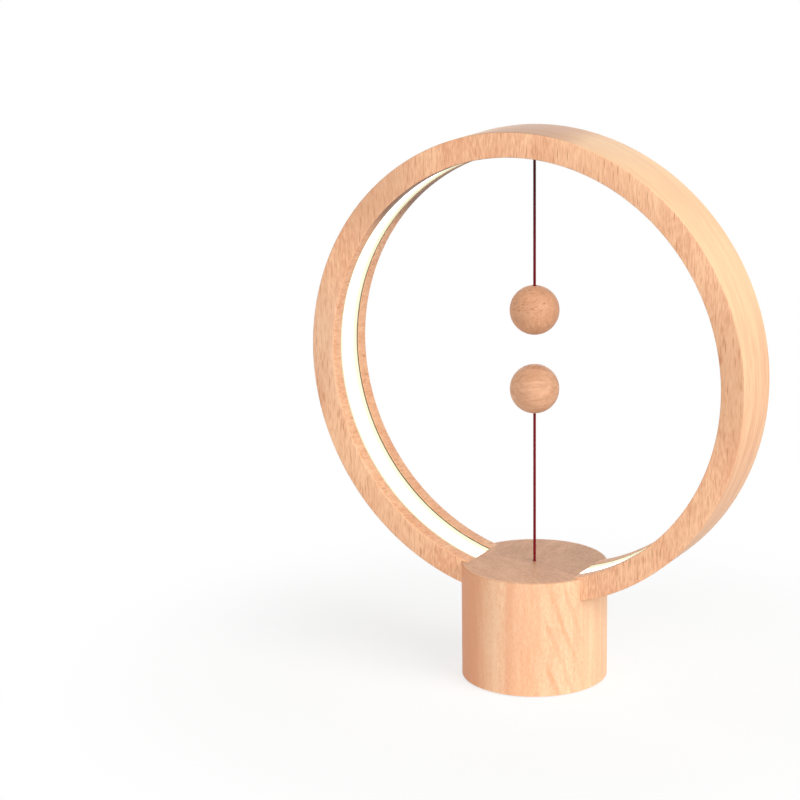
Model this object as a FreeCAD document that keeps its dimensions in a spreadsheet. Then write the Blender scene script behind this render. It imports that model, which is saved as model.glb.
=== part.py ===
import FreeCAD, Part
import math
import os
import re

import Sketcher
from FreeCAD import Placement, Rotation, Vector

# Magnetic balance lamp: a beech ring on a round base, and two balls on strings that pull at each other.
# Millimetres: Z is up from the table, the ring stands in the XZ plane and is seen from -Y, and the
# power inlet is at the back, at +Y. Z = 0 is the underside of the foot ring.

# Driving sizes, one spreadsheet cell each
SIZES = {
    # wooden ring
    "ring_diameter": 230,
    "ring_wall": 12,
    "ring_depth": 32,
    "ring_edge": 0.6,
    "channel_width": 17,
    "channel_floor_width": 14,
    "channel_depth": 6.5,
    # light in the ring's channel
    "diffuser_width": 16,
    "diffuser_thickness": 2,
    "diffuser_seat": 3.5,
    "strip_width": 10,
    "strip_thickness": 0.4,
    "strip_glue": 0.1,
    "strip_end_gap": 1.8,
    "chip_length": 3.5,
    "chip_width": 2.8,
    "chip_height": 0.8,
    "chip_spacing": 16.6,
    "lead_diameter": 1,
    "lead_spread": 1.2,
    "lead_run": 4.4,
    "lead_slant": 3.1,
    "lead_hole_diameter": 3.6,
    "lead_hole_inset": 3.3,
    "lead_hole_reach": 1.5,
    # base
    "base_diameter": 72,
    "base_height": 58,
    "base_edge": 0.6,
    "base_wall": 8,
    "cap_over_ring": 4,
    "cap_skirt": 1,
    "saddle_floor": 4,
    "cover_rim": 2.2,
    "cover_thickness": 3.4,
    "cover_clearance": 0.2,
    "foot_inset": 0.6,
    "foot_width": 6,
    "foot_thickness": 1.6,
    "foot_proud": 0.6,
    "ballast_clearance": 1,
    "ballast_thickness": 6,
    "dowel_diameter": 4,
    "dowel_length": 10,
    "dowel_bite": 3,
    "dowel_aside": 8,
    # strings and balls
    "string_diameter": 1.4,
    "string_clearance": 0.2,
    "knot_diameter": 3,
    "knot_end_diameter": 2.1,
    "knot_length": 2.4,
    "knot_shoulder": 0.7,
    "knot_clearance": 0.1,
    "bend_clearance": 0.05,
    "ball_diameter": 24,
    "ball_gap": 15,
    "gap_above_centre": 8,
    "magnet_diameter": 10,
    "magnet_thickness": 5,
    "ball_bore_past_centre": 1,
    "ball_plug": 4,
    # string's anchor at the top of the ring
    "ferrule_wall": 0.5,
    "ferrule_collar": 4,
    "ferrule_collar_thickness": 1.5,
    "ferrule_proud": 0.5,
    "anchor_hole_depth": 4,
    "upper_pivot_drop": 0.8,
    # string's way through the base
    "guide_clearance": 0.3,
    "guide_wall": 0.4,
    "guide_sink": 1.5,
    "guide_end": 1,
    # pull switch
    "pull_travel": 1.5,
    "plate_thickness": 2,
    "spring_diameter": 6.6,
    "spring_wire": 0.6,
    "spring_turns": 7,
    "spring_end_gap": 0.1,
    "flange_diameter": 13,
    "flange_thickness": 2,
    "spigot_diameter": 4.8,
    "spigot_length": 3,
    "stem_diameter": 6,
    "stem_length": 6,
    "stem_clearance": 0.1,
    "stem_over_board": 2.4,
    "knot_pocket": 4,
    "knot_pocket_diameter": 3.6,
    "shelf_clearance": 0.5,
    "guide_shelf": 3,
    "plate_past_pin": 6,
    "arm_place": 8.4,
    "arm_thickness": 1.6,
    "bracket_width": 10.8,
    "lever_touch": 5.5,
    "lever_inner": 8,
    "lever_outer": 4,
    "lever_width": 4,
    "lever_thickness": 1.2,
    "lever_overhang": 0.6,
    "lever_clearance": 0.1,
    "boss_diameter": 4,
    "pin_rise": 1.6,
    "pin_diameter": 1.6,
    "pin_clearance": 0.05,
    "ear_length": 4,
    "ear_thickness": 1.5,
    "boss_play": 0.1,
    "switch_length": 12.8,
    "switch_width": 5.8,
    "switch_height": 6.5,
    "button_diameter": 1.4,
    "button_bevel": 0.3,
    "button_off_centre": 0.6,
    "button_stroke_room": 1.35,
    "button_clearance": 0.05,
    "button_gap": 0.2,
    "button_depth": 2.5,
    "button_foot_gap": 0.3,
    "wall_thickness": 2,
    "terminal_length": 1.6,
    "terminal_width": 3.2,
    "terminal_thickness": 0.5,
    "terminal_pitch": 5,
    "switch_screw_pitch": 6.5,
    "switch_screw_height": 2,
    # circuit board and inlet
    "spacer_height": 2,
    "spacer_diameter": 5,
    "board_clearance": 1.2,
    "board_thickness": 1.6,
    "board_screw_inset": 6.8,
    "board_screw_depth": 4,
    "socket_width": 8.94,
    "socket_height": 3.2,
    "socket_length": 11,
    "socket_wall": 0.3,
    "inlet_width": 12.4,
    "inlet_height": 7,
    "inlet_depth": 5,
    "tongue_width": 6.7,
    "tongue_height": 0.7,
    "tongue_setback": 1,
    "driver_length": 6,
    "driver_width": 5,
    "driver_height": 1.5,
    "driver_place_x": 13,
    "driver_place_y": 9,
    "capacitor_diameter": 5,
    "capacitor_height": 7,
    "capacitor_place_x": 8,
    "capacitor_place_y": 15,
    "resistor_length": 2,
    "resistor_width": 1.2,
    "resistor_height": 0.6,
    "resistor_pitch": 4,
    "resistor_place": 12,
    # screws
    "ring_screw_place": 14,
    "ring_screw_bite": 8,
    "ring_screw_diameter": 3,
    "ring_screw_head": 6,
    "ring_screw_head_height": 1.6,
    "cover_screw_inset": 2.2,
    "cover_screw_diameter": 2.2,
    "cover_screw_head": 4.2,
    "cover_screw_head_height": 1.2,
    "cover_screw_bite": 8,
    "ballast_screw_place": 15,
    "ballast_screw_bite": 4,
    "small_screw_diameter": 2,
    "small_screw_head": 3.8,
    "small_screw_head_height": 1.2,
    "bracket_screw_bite": 3.5,
    "bracket_screw_left": 6.2,
    "bracket_screw_middle": 8.6,
    "bracket_screw_right": 17.5,
    "bracket_screw_aside": 3.4,
    "board_screw_diameter": 2.5,
    "board_screw_head": 4.5,
    "board_screw_head_height": 1.4,
}

# Heights, radii and places worked out from the driving sizes.
PLACES = {
    "ring_outer": "ring_diameter / 2",
    "ring_inner": "ring_outer - ring_wall",
    "ring_centre": "base_height - cap_over_ring + ring_inner",
    "channel_floor": "ring_inner + channel_depth",
    "strip_back": "channel_floor - strip_glue",
    "strip_face": "strip_back - strip_thickness",
    "diffuser_back": "ring_inner + diffuser_seat",
    "diffuser_face": "diffuser_back - diffuser_thickness",
    "cavity_radius": "base_diameter / 2 - base_wall",
    "channel_end_x": "cavity_radius - lead_hole_inset",
    "channel_end_angle": "asin(channel_end_x / channel_floor)",
    "channel_angle": "360 - 2 * channel_end_angle",
    "lead_hole_top": "ring_centre - channel_floor * cos(channel_end_angle) + lead_hole_reach",
    "strip_end_x": "channel_end_x + strip_end_gap",
    "strip_end_angle": "asin(strip_end_x / channel_floor)",
    "strip_end_z": "ring_centre - channel_floor * cos(strip_end_angle)",
    "strip_angle": "360 - 2 * strip_end_angle",
    "cap_bottom": "base_height - cap_over_ring - cap_skirt",
    "cap_middle": "base_height - (cap_over_ring + cap_skirt) / 2",
    "ring_bottom": "ring_centre - ring_outer",
    "ceiling": "ring_bottom - saddle_floor",
    "dowel_bottom": "cap_bottom + dowel_bite - dowel_length",
    "dowel_place": "ring_depth / 2 + dowel_aside",
    "rebate_radius": "base_diameter / 2 - cover_rim",
    "cover_radius": "rebate_radius - cover_clearance",
    "foot_outer": "cover_radius - foot_inset",
    "foot_inner": "foot_outer - foot_width",
    "ballast_radius": "cavity_radius - ballast_clearance",
    "board_radius": "cavity_radius - board_clearance",
    "board_screw_place": "board_radius - board_screw_inset",
    "cover_screw_place": "foot_outer - cover_screw_inset",
    "cover_top": "foot_proud + cover_thickness",
    "cover_screw_end": "foot_thickness + cover_screw_head_height + cover_screw_bite",
    "ballast_top": "cover_top + ballast_thickness",
    "board_bottom": "ballast_top + spacer_height",
    "board_top": "board_bottom + board_thickness",
    "string_hole_diameter": "string_diameter + 2 * string_clearance",
    "bend_gap": "string_diameter / 2 + bend_clearance",
    "upper_ball_centre": "ring_centre + gap_above_centre + ball_gap / 2 + ball_diameter / 2",
    "lower_ball_centre": "ring_centre + gap_above_centre - ball_gap / 2 - ball_diameter / 2",
    "ferrule_diameter": "string_hole_diameter + 2 * ferrule_wall",
    "ferrule_mouth": "ring_centre + diffuser_face - ferrule_proud",
    "ferrule_top": "ring_centre + channel_floor + ferrule_collar_thickness",
    "upper_pivot": "ferrule_mouth - upper_pivot_drop",
    "lower_pivot": "base_height + pull_travel + bend_gap",
    "guide_bore": "string_diameter + 2 * guide_clearance",
    "guide_diameter": "guide_bore + 2 * guide_wall",
    "guide_top": "base_height - guide_sink",
    "guide_bottom": "ceiling - guide_end",
    "plate_bottom": "ceiling - plate_thickness",
    "stem_bottom": "board_top + stem_over_board",
    "flange_bottom": "stem_bottom + stem_length",
    "flange_top": "flange_bottom + flange_thickness",
    "slider_knot_top": "stem_bottom + knot_pocket",
    "spring_rise": "plate_bottom - flange_top - 2 * spring_end_gap - spring_wire",
    "shelf_top": "flange_bottom - pull_travel - shelf_clearance",
    "shelf_bottom": "shelf_top - guide_shelf",
    "lever_bottom": "flange_top + lever_clearance",
    "lever_pivot_x": "lever_touch + lever_inner",
    "lever_pivot_z": "lever_bottom + pin_rise",
    "button_x": "lever_pivot_x + lever_outer",
    "button_top": "lever_bottom - button_gap",
    "switch_top": "button_top - button_stroke_room",
    "switch_bottom": "switch_top - switch_height",
    "switch_middle": "button_x - button_off_centre",
    "switch_left": "switch_middle - switch_length / 2",
    "switch_screw_z": "switch_bottom + switch_screw_height",
    "bracket_front": "-bracket_width / 2",
    "bracket_back": "bracket_width / 2",
    "wall_front": "bracket_back - wall_thickness",
    "ear_back": "bracket_front + ear_thickness",
    "switch_front": "wall_front - switch_width",
    "terminal_front": "switch_front + (switch_width - terminal_width) / 2",
    "socket_mouth": "base_diameter / 2 - inlet_depth",
    "socket_back": "socket_mouth - socket_length",
    "socket_middle": "board_top + socket_height / 2",
}

doc = FreeCAD.newDocument("balance_lamp")
sheet = doc.addObject("Spreadsheet::Sheet", "sizes")
for line, (name, number) in enumerate(SIZES.items(), start=1):
    sheet.set(f"A{line}", name)
    sheet.set(f"B{line}", str(number))
    sheet.setAlias(f"B{line}", name)
doc.recompute()


def bound(text):
    """The text as an expression: each size's name becomes its cell, and each place's name its property."""
    def link(word):
        name = word.group()
        if name in SIZES:
            return f"sizes.{name}"
        return f"places.{name}" if name in PLACES else name
    return re.sub(r"[a-z][a-z_]*", link, text)


places = doc.addObject("App::VarSet", "places")
for name in PLACES:
    places.addProperty("App::PropertyFloat", name, "worked_out")
for name, text in PLACES.items():
    places.setExpression(name, bound(text))
doc.recompute()

PARTS = []


def bind(item, **fields):
    """Ties an object's properties to expressions; two underscores stand for a dot."""
    for field, text in fields.items():
        item.setExpression(field.replace("__", "."), bound(text))
    return item


def set_at(item, x="0", y="0", z="0"):
    return bind(item, Placement__Base__x=x, Placement__Base__y=y, Placement__Base__z=z)


def finish(item, label):
    """Names a finished sub-part and puts it on the list that is written out."""
    item.Label = label
    PARTS.append(item)


# Plain solids

TURNS = {
    "Z": Rotation(),
    "Y": Rotation(Vector(1, 0, 0), -90),
}


def rod(diameter, length, x="0", y="0", z="0", along="Z"):
    """A cylinder that starts at x, y, z and runs along an axis."""
    item = doc.addObject("Part::Cylinder", "rod")
    item.Placement = Placement(Vector(), TURNS[along])
    bind(item, Radius=f"({diameter}) / 2", Height=length)
    return set_at(item, x, y, z)


def block(x, y, z):
    """A box between pairs of x, y and z."""
    item = doc.addObject("Part::Box", "block")
    bind(item, Length=f"({x[1]}) - ({x[0]})", Width=f"({y[1]}) - ({y[0]})", Height=f"({z[1]}) - ({z[0]})")
    return set_at(item, x[0], y[0], z[0])


def joined(*pieces):
    item = doc.addObject("Part::MultiFuse", "joined")
    item.Shapes = list(pieces)
    return item


def grouped(*pieces):
    """Separate solids under one name."""
    item = doc.addObject("Part::Compound", "grouped")
    item.Links = list(pieces)
    return item


def without(base, *cutters):
    item = doc.addObject("Part::Cut", "without")
    item.Base = base
    item.Tool = cutters[0] if len(cutters) == 1 else joined(*cutters)
    return item


def common(first, second):
    item = doc.addObject("Part::Common", "common")
    item.Base = first
    item.Tool = second
    return item


# Sketched solids

def sketch_in(body, role):
    plane = next(item for item in body.Origin.OriginFeatures if item.Role == role)
    sketch = body.newObject("Sketcher::SketchObject", "outline")
    sketch.AttachmentSupport = [(plane, "")]
    sketch.MapMode = "FlatFace"
    return sketch


def draw(sketch, corners):
    """A closed outline of straight sides, with each corner's place tied to expressions."""
    count = len(corners)
    start = [Vector(math.cos(math.tau * i / count), math.sin(math.tau * i / count), 0) for i in range(count)]
    sides = [Part.LineSegment(start[i], start[(i + 1) % count]) for i in range(count)]
    sketch.addGeometry(sides, False)
    for i in range(count):
        sketch.addConstraint(Sketcher.Constraint("Coincident", i, 2, (i + 1) % count, 1))
    for i, corner in enumerate(corners):
        for kind, axis, text in zip(("DistanceX", "DistanceY"), (-2, -1), corner):
            if text == "0":
                sketch.addConstraint(Sketcher.Constraint("PointOnObject", i, 1, axis))
            else:
                index = sketch.addConstraint(Sketcher.Constraint(kind, -1, 1, i, 1, 1.0))
                sketch.setExpression(f"Constraints[{index}]", bound(text))


def turned(corners, x="0", y="0", z="0"):
    """A body turned about its own Z axis; a corner is (radius, height)."""
    body = doc.addObject("PartDesign::Body", "turned")
    sketch = sketch_in(body, "XZ_Plane")
    draw(sketch, corners)
    turn = body.newObject("PartDesign::Revolution", "turn")
    turn.Profile = sketch
    turn.ReferenceAxis = (sketch, ["V_Axis"])
    turn.Angle = 360
    return set_at(body, x, y, z)


def tube(outer, inner, low, high):
    """A tube round the Z axis, between two radii and two heights."""
    return turned([(inner, low), (outer, low), (outer, high), (inner, high)])


def hoop(width, inner, outer, angle="360"):
    """A hoop of rectangular section round the ring's axis, even about the top."""
    body = doc.addObject("PartDesign::Body", "hoop")
    sketch = sketch_in(body, "YZ_Plane")
    front, back = f"-({width}) / 2", f"({width}) / 2"
    draw(sketch, [(front, inner), (back, inner), (back, outer), (front, outer)])
    turn = body.newObject("PartDesign::Revolution", "sweep")
    turn.Profile = sketch
    turn.ReferenceAxis = (sketch, ["H_Axis"])
    turn.Midplane = True
    bind(turn, Angle=angle)
    return set_at(body, z="ring_centre")


def rounded(body, radius, chosen):
    """Rounds the chosen round edges of a body's last feature."""
    doc.recompute()
    last = body.Tip
    edges = [(f"Edge{i}", edge) for i, edge in enumerate(last.Shape.Edges, start=1)]
    names = [name for name, edge in edges if isinstance(edge.Curve, Part.Circle) and chosen(edge.Curve)]
    fillet = body.newObject("PartDesign::Fillet", "edge_rounding")
    fillet.Base = (last, names)
    bind(fillet, Radius=radius)
    return body


def screw(kind, length, x, y, z, along="Z", head_down=True):
    """A screw of one kind, with its head's outer face at x, y, z."""
    head_height = f"{kind}_head_height"
    start = y if along == "Y" else z
    starts = (start, f"{start} + {head_height}")
    if not head_down:
        starts = (f"{start} - {head_height}", f"{start} - {head_height} - ({length})")
    pieces = []
    for size, run, at in zip(("head", "diameter"), (head_height, length), starts):
        y, z = (at, z) if along == "Y" else (y, at)
        pieces.append(rod(f"{kind}_{size}", run, x, y, z, along))
    return joined(*pieces)


def round_the_axis(place, count, first=0):
    """Pairs of x and y, evenly round the Z axis."""
    angles = [first + 360 * i / count for i in range(count)]
    return [(f"{place} * cos({angle})", f"{place} * sin({angle})") for angle in angles]


# Wires

ARC_SHARE = 0.45  # how much of the shorter run beside a corner its arc may take


def wire_solid(points, diameter):
    """A wire of straight runs and tangent arcs, each arc as large as its two runs allow."""
    edges = []
    start = points[0]
    for before, corner, after in zip(points, points[1:], points[2:]):
        run_in, run_out = corner - before, after - corner
        half_turn = run_in.getAngle(run_out) / 2
        setback = ARC_SHARE * min(run_in.Length, run_out.Length)
        into = corner - run_in.normalize() * setback
        out = corner + run_out.normalize() * setback
        radius = setback / math.tan(half_turn)
        towards = (into + out) * 0.5 - corner
        middle = corner + towards.normalize() * (radius / math.cos(half_turn) - radius)
        edges += [Part.LineSegment(start, into).toShape(), Part.Arc(into, middle, out).toShape()]
        start = out
    edges.append(Part.LineSegment(start, points[-1]).toShape())
    section = Part.Wire(Part.Circle(points[0], points[1] - points[0], diameter / 2).toShape())
    return Part.Wire(edges).makePipeShell([section], True, False)


def wires(label, routes):
    item = doc.addObject("Part::Feature", label)
    item.Shape = Part.makeCompound([wire_solid(route, sheet.lead_diameter) for route in routes])
    finish(item, label)


# Places that several pieces share

RING_SCREWS = [("-ring_screw_place", "0"), ("ring_screw_place", "0")]
DOWELS = [("0", "-dowel_place"), ("0", "dowel_place")]
COVER_SCREWS = round_the_axis("cover_screw_place", 3, first=30)
BALLAST_SCREWS = round_the_axis("ballast_screw_place", 3, first=90)
BOARD_SCREWS = round_the_axis("board_screw_place", 3, first=30)
BRACKET_SCREWS = [("-bracket_screw_left", "0"), ("bracket_screw_middle", "0"),
                  ("bracket_screw_right", "-bracket_screw_aside")]
SWITCH_SCREWS = ["switch_middle - switch_screw_pitch / 2", "switch_middle + switch_screw_pitch / 2"]


# Ring: a beech hoop with a stepped channel round its inner face

def ring_holes():
    """Ways through the ring's foot, and the blind hole at its top that holds the string's knot."""
    holes = [
        rod("ferrule_collar", "anchor_hole_depth + channel_depth / 2",
            z="ring_centre + channel_floor - channel_depth / 2"),
        rod("guide_diameter", "3 * ring_wall", z="ring_bottom - ring_wall"),
        rod("lead_hole_diameter", "lead_hole_top - ceiling", "-channel_end_x", z="ceiling"),
    ]
    for x, y in RING_SCREWS:
        holes.append(rod("ring_screw_diameter", "ring_screw_bite + saddle_floor", x, y, "ceiling"))
    return holes


def make_ring():
    mouth = hoop("channel_width", "ring_inner - ring_wall", "diffuser_back", "channel_angle")
    floor = hoop("channel_floor_width", "ring_inner", "channel_floor", "channel_angle")
    finish(without(ring_blank, mouth, floor, *ring_holes()), "ring")


def make_light():
    """The light strip on the channel's floor, and the diffuser on its shoulders, both pierced at the top."""
    way = rod("ferrule_diameter", "channel_depth + ring_wall", z="ring_centre + ring_inner - ring_wall")
    strip = hoop("strip_width", "strip_face", "strip_back", "strip_angle")
    finish(without(strip, way), "led_strip")
    diffuser = hoop("diffuser_width", "diffuser_face", "diffuser_back", "strip_angle")
    finish(without(diffuser, way), "diffuser")


def make_chips():
    """Light chips along the strip, an even number of them so that none is at the string."""
    pitch = math.degrees(sheet.chip_spacing / places.strip_face)
    count = 2 * int((places.strip_angle / 2 - pitch / 2) / pitch)
    length, width, height = sheet.chip_length, sheet.chip_width, sheet.chip_height
    base = math.sqrt(places.strip_face ** 2 - (length / 2) ** 2)
    chips = []
    for i in range(count):
        chip = Part.makeBox(length, width, height, Vector(-length / 2, -width / 2, base - height))
        turn = Rotation(Vector(0, 1, 0), (i - (count - 1) / 2) * pitch)
        chip.Placement = Placement(Vector(0, 0, places.ring_centre), turn)
        chips.append(chip)
    item = doc.addObject("Part::Feature", "led_chips")
    item.Shape = Part.makeCompound(chips)
    finish(item, "led_chips")


def make_led_leads():
    """Two leads from the strip's end, down through the ring's foot to the board."""
    radius, run = sheet.lead_diameter / 2, sheet.lead_run
    end_x, end_z = radius - places.strip_end_x, places.strip_end_z + radius
    hole_x, bend_z = -places.channel_end_x, places.ceiling - run
    outline = [(end_x, end_z), (hole_x, end_z - sheet.saddle_floor), (hole_x, bend_z),
               (hole_x + run, bend_z - run), (hole_x + run, places.board_top)]
    routes = [[Vector(x, side * sheet.lead_spread / 2, z) for x, z in outline] for side in (-1, 1)]
    wires("led_leads", routes)


# Strings, knots and balls

def knot(label, low):
    """A string's knot, barrel-shaped, with flat ends."""
    end, middle = "knot_end_diameter / 2", "knot_diameter / 2"
    corners = [("0", "0"), (end, "0"), (middle, "knot_shoulder"), (middle, "knot_length - knot_shoulder"),
               (end, "knot_length"), ("0", "knot_length")]
    finish(turned(corners, z=low), label)


def string_run(label, low, high):
    finish(rod("string_diameter", f"({high}) - ({low})", z=low), label)


def bend(label, height):
    """The short length of string that flexes at a pivot."""
    item = bind(doc.addObject("Part::Sphere", "bend"), Radius="string_diameter / 2")
    finish(set_at(item, z=height), label)


def make_anchor():
    """A collared ferrule in the ring's top, with the upper string knotted above it."""
    bore, barrel, collar = "string_hole_diameter / 2", "ferrule_diameter / 2", "ferrule_collar / 2"
    step = "ring_centre + channel_floor"
    finish(turned([(bore, "ferrule_mouth"), (barrel, "ferrule_mouth"), (barrel, step), (collar, step),
                   (collar, "ferrule_top"), (bore, "ferrule_top")]), "top_ferrule")
    knot("upper_anchor_knot", "ferrule_top")
    string_run("upper_cord_inside", "upper_pivot + bend_gap", "ferrule_top")
    bend("upper_cord_bend", "upper_pivot")


def make_ball(name, centre, string_above):
    """A ball with a magnet behind a turned plug on its facing side, and its string's knot inside."""
    def stretch(near, far):
        """The lowest height and the length of a stretch, given towards the string from the ball's centre."""
        low = f"{centre} + ({near})" if string_above else f"{centre} - ({far})"
        return low, f"({far}) - ({near})"

    def length_of(diameter, near, far):
        low, length = stretch(near, far)
        return rod(diameter, length, z=low)

    sphere = set_at(bind(doc.addObject("Part::Sphere", "sphere"), Radius="ball_diameter / 2"), z=centre)
    face = "-ball_diameter / 2"
    plug_end = f"{face} + ball_plug"
    bore = length_of("magnet_diameter", f"{face} - ball_plug", "ball_bore_past_centre")
    string_hole = length_of("string_hole_diameter", "0", "ball_diameter")
    finish(without(sphere, bore, string_hole), f"{name}_ball")
    plug = common(sphere, length_of("magnet_diameter", f"{face} - ball_plug", plug_end))
    finish(plug, f"{name}_ball_plug")
    finish(length_of("magnet_diameter", plug_end, f"{plug_end} + magnet_thickness"), f"{name}_magnet")
    knot_top = "ball_bore_past_centre - knot_clearance"
    knot(f"{name}_ball_knot", stretch(f"{knot_top} - knot_length", knot_top)[0])
    if string_above:
        string_run(f"{name}_cord", f"{centre} + {knot_top}", "upper_pivot - bend_gap")
    else:
        string_run(f"{name}_cord", "lower_pivot + bend_gap", f"{centre} - ({knot_top})")


def make_pull_string():
    bend("lower_cord_bend", "lower_pivot")
    string_run("lower_cord_inside", "slider_knot_top", "lower_pivot - bend_gap")
    knot("slider_knot", "slider_knot_top - knot_length")


# Pull switch: the lower string lifts a slider, which tips a lever on to a microswitch

def make_slider():
    pocket, bore, stem = "knot_pocket_diameter / 2", "string_hole_diameter / 2", "stem_diameter / 2"
    flange, spigot = "flange_diameter / 2", "spigot_diameter / 2"
    top = "flange_top + spigot_length"
    finish(turned([(pocket, "stem_bottom"), (stem, "stem_bottom"), (stem, "flange_bottom"),
                   (flange, "flange_bottom"), (flange, "flange_top"), (spigot, "flange_top"), (spigot, top),
                   (bore, top), (bore, "slider_knot_top"), (pocket, "slider_knot_top")]), "pull_slider")


def make_spring():
    """The light spring that pushes the slider down when the string goes slack."""
    radius = "(spring_diameter - spring_wire) / 2"
    low = "flange_top + spring_end_gap + spring_wire / 2"
    coil = doc.addObject("Part::Helix", "coil")
    bind(coil, Radius=radius, Height="spring_rise", Pitch="spring_rise / spring_turns")
    set_at(coil, z=low)
    section = doc.addObject("Part::Circle", "section")
    section.Placement = Placement(Vector(), TURNS["Y"])
    bind(section, Radius="spring_wire / 2")
    set_at(section, x=radius, z=low)
    sweep = doc.addObject("Part::Sweep", "sweep")
    sweep.Sections = [section]
    sweep.Spine = (coil, [])
    sweep.Solid = True
    sweep.Frenet = True
    finish(sweep, "return_spring")


def make_bracket():
    """A moulded bracket under the ceiling: it guides the slider and holds the lever and the microswitch."""
    across = ("bracket_front", "bracket_back")
    arm_back, arm_front = "-arm_place - arm_thickness", "-arm_place"
    frame = joined(
        block((arm_back, "lever_pivot_x + plate_past_pin"), across, ("plate_bottom", "ceiling")),
        block((arm_back, arm_front), across, ("shelf_bottom", "ceiling")),
        block((arm_back, "lever_touch"), across, ("shelf_bottom", "shelf_top")),
        block(("switch_left", "switch_left + switch_length"), ("wall_front", "bracket_back"),
              ("switch_bottom", "ceiling")),
        block(("lever_pivot_x - ear_length / 2", "lever_pivot_x + ear_length / 2"),
              ("bracket_front", "ear_back"), ("lever_pivot_z - ear_length / 2", "ceiling")),
    )
    below_plate = "plate_bottom - plate_thickness / 2"
    holes = [
        rod("guide_diameter", "2 * plate_thickness", z=below_plate),
        rod("stem_diameter + 2 * stem_clearance", "2 * guide_shelf", z="shelf_bottom - guide_shelf / 2"),
        rod("pin_diameter", "2 * bracket_width", "lever_pivot_x", "-bracket_width", "lever_pivot_z", "Y"),
    ]
    for x, y in BRACKET_SCREWS:
        holes.append(rod("small_screw_diameter", "2 * plate_thickness", x, y, below_plate))
    for x in SWITCH_SCREWS:
        holes.append(rod("small_screw_diameter", "2 * bracket_width", x, "0", "switch_screw_z", "Y"))
    finish(without(frame, *holes), "switch_bracket")
    screws = [screw("small_screw", "plate_thickness + bracket_screw_bite", x, y,
                    "plate_bottom - small_screw_head_height") for x, y in BRACKET_SCREWS]
    finish(grouped(*screws), "bracket_screws")


def make_lever():
    pivot_x, pivot_z = "lever_pivot_x", "lever_pivot_z"
    boss_start, boss_end = "ear_back + boss_play", "wall_front - boss_play"
    arm = block(("lever_touch - lever_overhang", "button_x + button_diameter / 2 + lever_overhang"),
                ("-lever_width / 2", "lever_width / 2"), ("lever_bottom", "lever_bottom + lever_thickness"))
    boss = rod("boss_diameter", f"{boss_end} - ({boss_start})", pivot_x, boss_start, pivot_z, "Y")
    bore = rod("pin_diameter + 2 * pin_clearance", "2 * bracket_width", pivot_x, "-bracket_width",
               pivot_z, "Y")
    finish(without(joined(arm, boss), bore), "switch_lever")
    finish(rod("pin_diameter", "bracket_width", pivot_x, "bracket_front", pivot_z, "Y"), "lever_pin")


def make_microswitch():
    case = block(("switch_left", "switch_left + switch_length"), ("switch_front", "wall_front"),
                 ("switch_bottom", "switch_top"))
    holes = [rod("small_screw_diameter", "2 * bracket_width", x, "-bracket_width", "switch_screw_z", "Y")
             for x in SWITCH_SCREWS]
    button_way = rod("button_diameter + 2 * button_clearance", "2 * button_depth", "button_x", "0",
                     "switch_top - button_depth")
    finish(without(case, button_way, *holes), "microswitch_body")
    radius, foot = "button_diameter / 2", "switch_top - button_depth + button_foot_gap"
    finish(turned([("0", foot), (radius, foot), (radius, "button_top - button_bevel"),
                   (f"{radius} - button_bevel", "button_top"), ("0", "button_top")], "button_x"),
           "microswitch_button")
    blades = []
    for step in (-1, 0, 1):
        middle = f"switch_middle + {step} * terminal_pitch"
        blades.append(block((f"{middle} - terminal_thickness / 2", f"{middle} + terminal_thickness / 2"),
                            ("terminal_front", "terminal_front + terminal_width"),
                            ("switch_bottom - terminal_length", "switch_bottom")))
    finish(grouped(*blades), "microswitch_terminals")
    head = "switch_front - small_screw_head_height"
    screws = [screw("small_screw", "switch_width + wall_thickness", x, head, "switch_screw_z", "Y")
              for x in SWITCH_SCREWS]
    finish(grouped(*screws), "microswitch_screws")


def make_switch_leads():
    """Two leads from the microswitch's terminals, arching forward and down to the board."""
    run, high = sheet.lead_run, sheet.lead_run + sheet.lead_slant
    start_y, start_z = places.terminal_front, places.switch_bottom - sheet.terminal_length / 2
    outline = [(start_y, start_z), (start_y - run, start_z), (start_y - high, start_z + run),
               (start_y - high - run, start_z + run), (start_y - high - run, places.board_top)]
    starts = [places.switch_middle - sheet.terminal_pitch, places.switch_middle]
    wires("switch_leads", [[Vector(x, y, z) for y, z in outline] for x in starts])


# Base

def make_shell():
    """The base's turned wall and saddle, with the ring's seat cut across it."""
    outer = "base_diameter / 2"
    wall = turned([("rebate_radius", "foot_proud"), (outer, "foot_proud"), (outer, "cap_bottom"),
                   ("0", "cap_bottom"), ("0", "ceiling"), ("cavity_radius", "ceiling"),
                   ("cavity_radius", "cover_top"), ("rebate_radius", "cover_top")])
    seat = rounded(hoop("ring_depth", "0", "ring_outer"), "ring_edge", lambda circle: True)
    inlet_way = stadium("inlet_width", "inlet_height", "cavity_radius - base_wall",
                        "base_diameter / 2 + base_wall")
    under = "ceiling - saddle_floor"
    cutters = [seat, inlet_way, rod("guide_diameter", "2 * saddle_floor", z=under),
               rod("lead_hole_diameter", "lead_hole_top - ceiling + saddle_floor", "-channel_end_x", z=under)]
    for x, y in RING_SCREWS:
        cutters += [rod("ring_screw_diameter", "ring_screw_bite + saddle_floor", x, y, "ceiling"),
                    rod("ring_screw_head", "saddle_floor + ring_screw_head_height", x, y, under)]
    for x, y in BRACKET_SCREWS:
        cutters.append(rod("small_screw_diameter", "saddle_floor + bracket_screw_bite", x, y, under))
    for x, y in COVER_SCREWS:
        cutters.append(rod("cover_screw_diameter", "cover_screw_end", x, y))
    for x, y in DOWELS:
        cutters.append(rod("dowel_diameter", "dowel_length", x, y, "dowel_bottom"))
    finish(without(wall, *cutters), "base_shell")


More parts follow.
